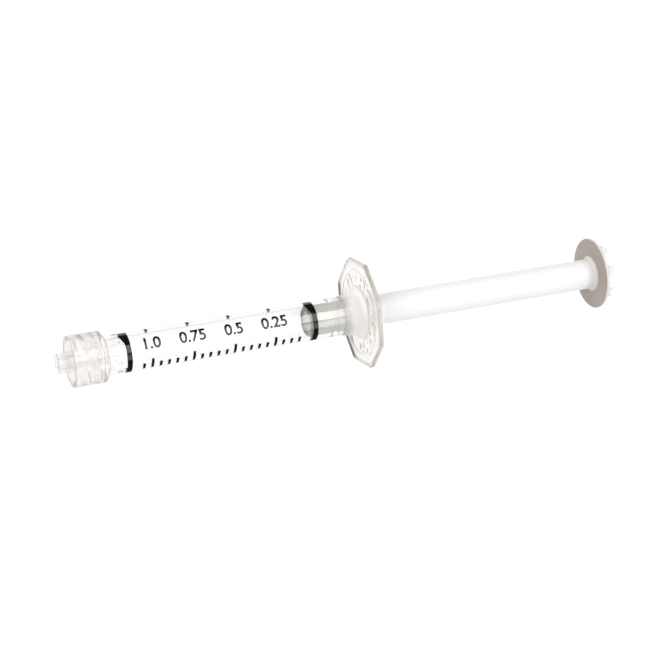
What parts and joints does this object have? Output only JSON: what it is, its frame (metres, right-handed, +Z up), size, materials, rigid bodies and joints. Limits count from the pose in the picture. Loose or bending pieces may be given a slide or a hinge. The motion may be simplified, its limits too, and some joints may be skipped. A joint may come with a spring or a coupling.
{
  "type": "luer-lock delivery syringe",
  "caption": "Slim clear-barrel syringe for dental materials: male lock tip in a threaded collar, octagonal finger flange, sliding stopper and white plunger rod with a round thumb rest.",
  "frame": {"origin": "centre of the footprint, at the height of the flange's lowest flat", "axes": "+X along the syringe from the tip to the thumb rest, +Z up, with one flat of the flange facing down"},
  "size_m": [0.1178, 0.0212, 0.0212],
  "materials": {
    "milky_plastic": "translucent milky, smooth",
    "clear_plastic": "clear, polished",
    "flange_plastic": "translucent milky, smooth",
    "grey_plastic": "translucent grey, glossy",
    "white_plastic": "opaque white, satin"
  },
  "bodies": {
    "barrel": {"luer_lock_hub": "milky_plastic", "barrel_tube": "clear_plastic", "finger_flange": "flange_plastic"},
    "stopper": {"stopper": "grey_plastic"},
    "plunger": {"plunger_rod": "white_plastic"}
  },
  "joints": [
    {"name": "plunger_slide", "type": "slide", "parent": "barrel", "child": "stopper", "axis": [1, 0, 0], "range_m": [-0.0378, 0.005]},
    {"name": "rod_twist", "type": "hinge", "parent": "stopper", "child": "plunger", "pos_m": [0.00215, 0, 0.0106], "axis": [1, 0, 0], "continuous": true}
  ]
}
